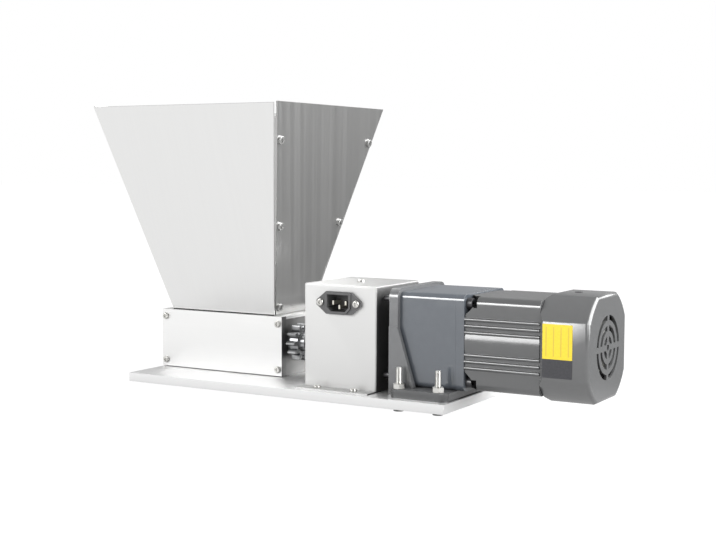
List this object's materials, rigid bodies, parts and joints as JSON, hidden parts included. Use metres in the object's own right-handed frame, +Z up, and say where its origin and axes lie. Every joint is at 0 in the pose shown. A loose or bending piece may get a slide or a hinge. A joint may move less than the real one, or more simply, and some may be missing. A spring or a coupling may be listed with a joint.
{
  "type": "motor-driven two-roller grain mill",
  "caption": "Motor-driven roller grain mill: screwed steel hopper on an aluminium roller box, control box with mains inlet, jaw coupling and gear motor on one base plate.",
  "frame": {"origin": "middle of the part's box in plan, on the plane of the bolt heads it stands on", "axes": "+X along the rollers from the mill to the motor, +Y from the inlet side to the switch side, +Z up"},
  "size_m": [0.5308, 0.213, 0.2903],
  "materials": {
    "hopper_steel": "fine brushed stainless sheet",
    "base_aluminium": "satin plate",
    "mill_aluminium": "machined, satin",
    "box_steel": "satin stainless sheet",
    "zinc_steel": "bright zinc plated",
    "black_steel": "black oxide",
    "tool_steel": "ground steel",
    "bronze": "plain bearing bronze",
    "knob_aluminium": "dark anodised",
    "black_plastic": "moulded",
    "contact_metal": "plated contacts",
    "rocker_plastic": "moulded red",
    "capacitor_plastic": "moulded white",
    "terminal_plastic": "moulded cream",
    "coupling_aluminium": "turned",
    "spider_rubber": "matt",
    "bracket_paint": "grey enamel on a casting",
    "gear_paint": "grey paint on a die casting",
    "motor_paint": "grey paint on an extrusion and castings",
    "lamination": "stacked sheet edges",
    "copper": "varnished windings",
    "fan_plastic": "moulded",
    "label_film": "plain yellow film with a dark band"
  },
  "bodies": {
    "frame": {"hopper_front": "hopper_steel", "hopper_rear": "hopper_steel", "hopper_left": "hopper_steel", "hopper_right": "hopper_steel", "base_plate": "base_aluminium", "mill_front_plate": "mill_aluminium", "mill_rear_plate": "mill_aluminium", "mill_side_left": "mill_aluminium", "mill_side_right": "mill_aluminium", "mill_top_plate": "mill_aluminium", "control_box": "box_steel", "control_box_back": "box_steel", "capacitor_clamp": "box_steel", "base_bolts": "zinc_steel", "hex_nuts": "zinc_steel", "mill_screws": "zinc_steel", "hopper_screws": "zinc_steel", "box_screws": "zinc_steel", "inlet_screws": "zinc_steel", "gearbox_bolts": "black_steel", "fan_cover_screws": "black_steel", "motor_bearings": "tool_steel", "output_bearing": "tool_steel", "drive_bushes": "bronze", "gear_bushes": "bronze", "inlet_body": "black_plastic", "switch_body": "black_plastic", "inlet_pins": "contact_metal", "capacitor": "capacitor_plastic", "terminal_block": "terminal_plastic", "motor_bracket": "bracket_paint", "gear_case": "gear_paint", "motor_flange": "gear_paint", "gear_mid_plate": "gear_paint", "stator_housing": "motor_paint", "rear_shield": "motor_paint", "fan_cover": "motor_paint", "stator_core": "lamination", "stator_windings": "copper", "rating_label": "label_film"},
    "drive_train": {"drive_roller": "tool_steel", "drive_gear": "tool_steel", "coupling_hub_mill": "coupling_aluminium", "coupling_spider": "spider_rubber", "coupling_hub_motor": "coupling_aluminium", "output_shaft": "tool_steel", "output_gear": "tool_steel"},
    "gap_carriage": {"gap_block_left": "mill_aluminium", "gap_block_right": "mill_aluminium", "gap_bushes": "bronze"},
    "driven_train": {"driven_roller": "tool_steel", "driven_gear": "tool_steel"},
    "gap_screw_left": {"gap_knob_left": "knob_aluminium"},
    "gap_screw_right": {"gap_knob_right": "knob_aluminium"},
    "cluster": {"cluster_gear": "tool_steel"},
    "rotor": {"rotor_core": "lamination", "motor_shaft": "tool_steel", "cooling_fan": "fan_plastic"},
    "rocker": {"switch_rocker": "rocker_plastic"}
  },
  "joints": [
    {"name": "drive_spin", "type": "hinge", "parent": "frame", "child": "drive_train", "pos_m": [0, -0.021, 0.048], "axis": [1, 0, 0], "continuous": true},
    {"name": "driven_spin", "type": "hinge", "parent": "gap_carriage", "child": "driven_train", "pos_m": [-0.15, 0.012, 0.048], "axis": [1, 0, 0], "continuous": true},
    {"name": "cluster_spin", "type": "hinge", "parent": "frame", "child": "cluster", "pos_m": [0.1, -0.00038, 0.057], "axis": [1, 0, 0], "continuous": true},
    {"name": "rotor_spin", "type": "hinge", "parent": "frame", "child": "rotor", "pos_m": [0.15, -0.021, 0.066], "axis": [1, 0, 0], "continuous": true},
    {"name": "gap_slide", "type": "slide", "parent": "frame", "child": "gap_carriage", "axis": [0, 1, 0], "range_m": [0, 0.0012]},
    {"name": "gap_turn_left", "type": "hinge", "parent": "gap_carriage", "child": "gap_screw_left", "pos_m": [-0.2231, 0.04, 0.048], "axis": [0, 1, 0], "range_deg": [0, 432.1]},
    {"name": "gap_turn_right", "type": "hinge", "parent": "gap_carriage", "child": "gap_screw_right", "pos_m": [-0.0791, 0.04, 0.048], "axis": [0, 1, 0], "range_deg": [0, 432.1]},
    {"name": "rocker_tilt", "type": "hinge", "parent": "frame", "child": "rocker", "pos_m": [0.0269, 0.0152, 0.091], "axis": [1, 0, 0], "range_deg": [0, 20]}
  ],
  "couplings": [
    {"joint": "driven_spin", "follows": "drive_spin", "ratio": -1},
    {"joint": "cluster_spin", "follows": "drive_spin", "ratio": -2.4615},
    {"joint": "rotor_spin", "follows": "drive_spin", "ratio": 6.0592},
    {"joint": "gap_turn_left", "follows": "gap_slide", "rad_per_m": 6283.2},
    {"joint": "gap_turn_right", "follows": "gap_slide", "rad_per_m": 6283.2}
  ]
}
